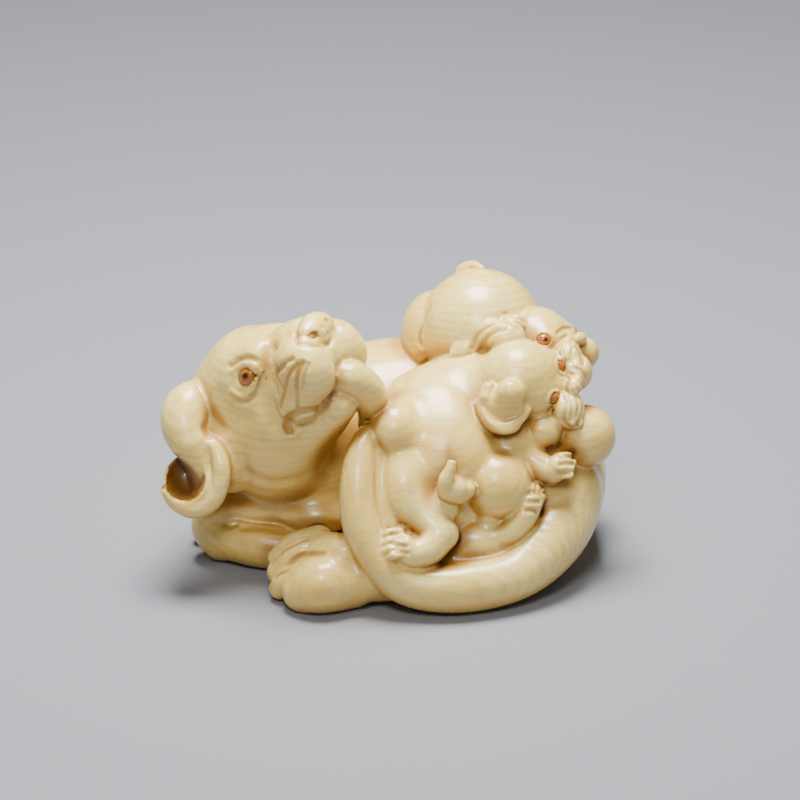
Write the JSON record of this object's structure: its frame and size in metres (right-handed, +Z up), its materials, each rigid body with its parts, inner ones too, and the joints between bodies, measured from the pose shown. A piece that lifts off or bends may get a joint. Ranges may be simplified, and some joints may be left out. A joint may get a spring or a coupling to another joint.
{
  "type": "netsuke",
  "caption": "Ivory netsuke of a drop-eared mother dog licking a puppy as it wrestles its sibling on her haunch beside a toy ball, with inlaid amber eyes.",
  "frame": {"origin": "middle of the bounding box, on the flat underside", "axes": "+Z up from the underside; +X along the length, from the mother's head to her rump; the front puppy and the tail face -Y"},
  "size_m": [0.0479, 0.035, 0.0299],
  "materials": {
    "ivory": "polished ivory, satin gloss, honey stain in the creases",
    "amber_horn": "polished translucent amber horn"
  },
  "bodies": {
    "root": {"carving": "ivory", "mother_right_eye": "amber_horn", "mother_left_eye": "amber_horn", "front_puppy_right_eye": "amber_horn", "front_puppy_left_eye": "amber_horn", "back_puppy_right_eye": "amber_horn", "back_puppy_left_eye": "amber_horn"}
  },
  "joints": []
}
